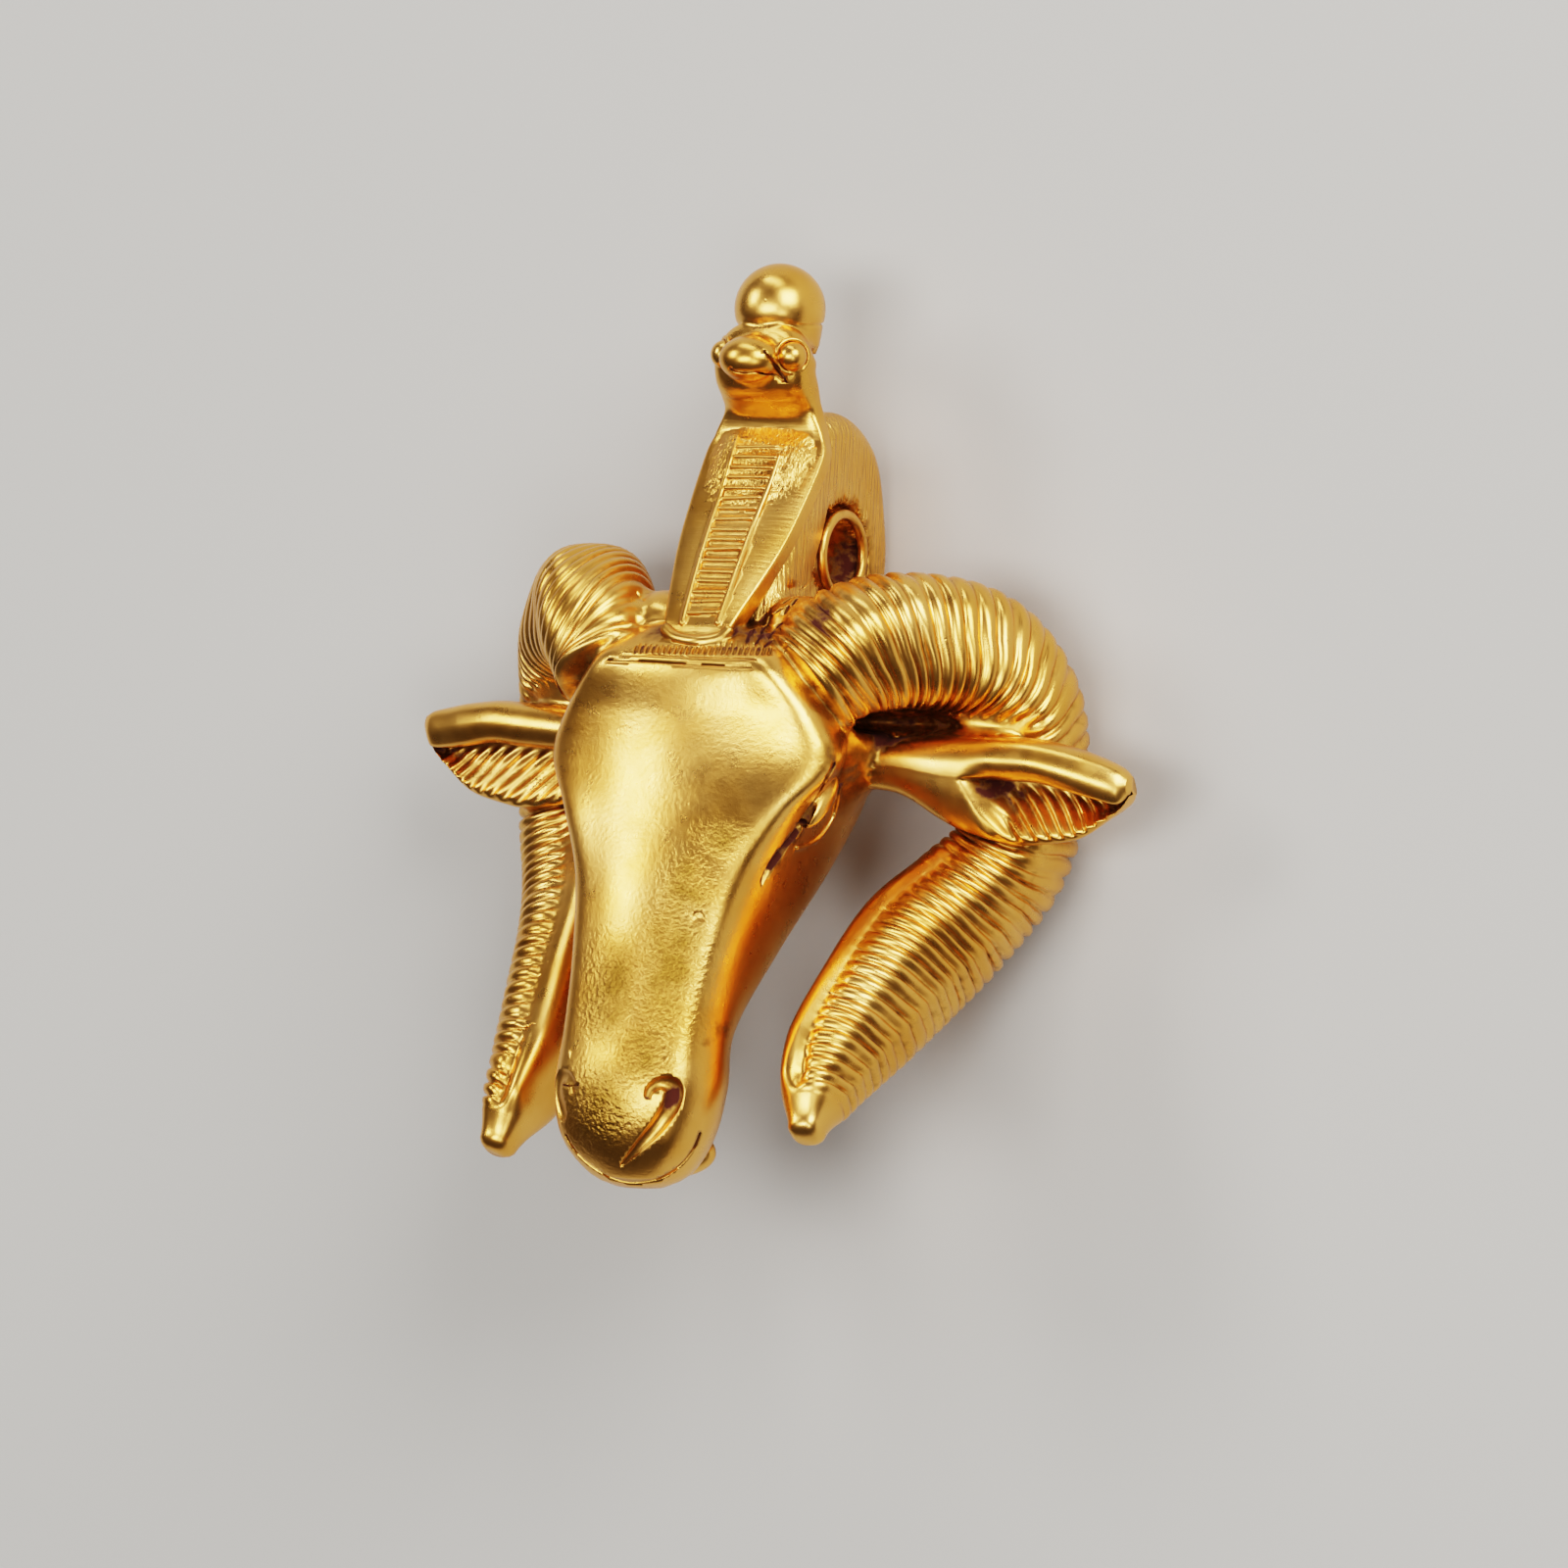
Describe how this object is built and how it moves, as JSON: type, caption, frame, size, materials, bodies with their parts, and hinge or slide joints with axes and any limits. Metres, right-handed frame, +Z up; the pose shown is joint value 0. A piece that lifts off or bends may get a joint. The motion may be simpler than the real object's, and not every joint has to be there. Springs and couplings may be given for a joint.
{
  "type": "ram head amulet",
  "caption": "Small cast gold amulet shaped as a ram's head with curled horns, a rearing cobra with a sun disc on its brow and a lug behind it drilled crosswise for a cord.",
  "frame": {"origin": "On the surface that the amulet lies on, under the middle of its outline.", "axes": "The amulet lies on its back, face up. +X is to the right of someone who looks at the face, +Y runs from the nose to the sun disc and +Z is up, out of the face."},
  "size_m": [0.0362, 0.0412, 0.0183],
  "materials": {
    "gold": "cast and hand polished gold, worn bright on the high places, with dark residue in the grooves"
  },
  "bodies": {
    "root": {"amulet": "gold"}
  },
  "joints": []
}
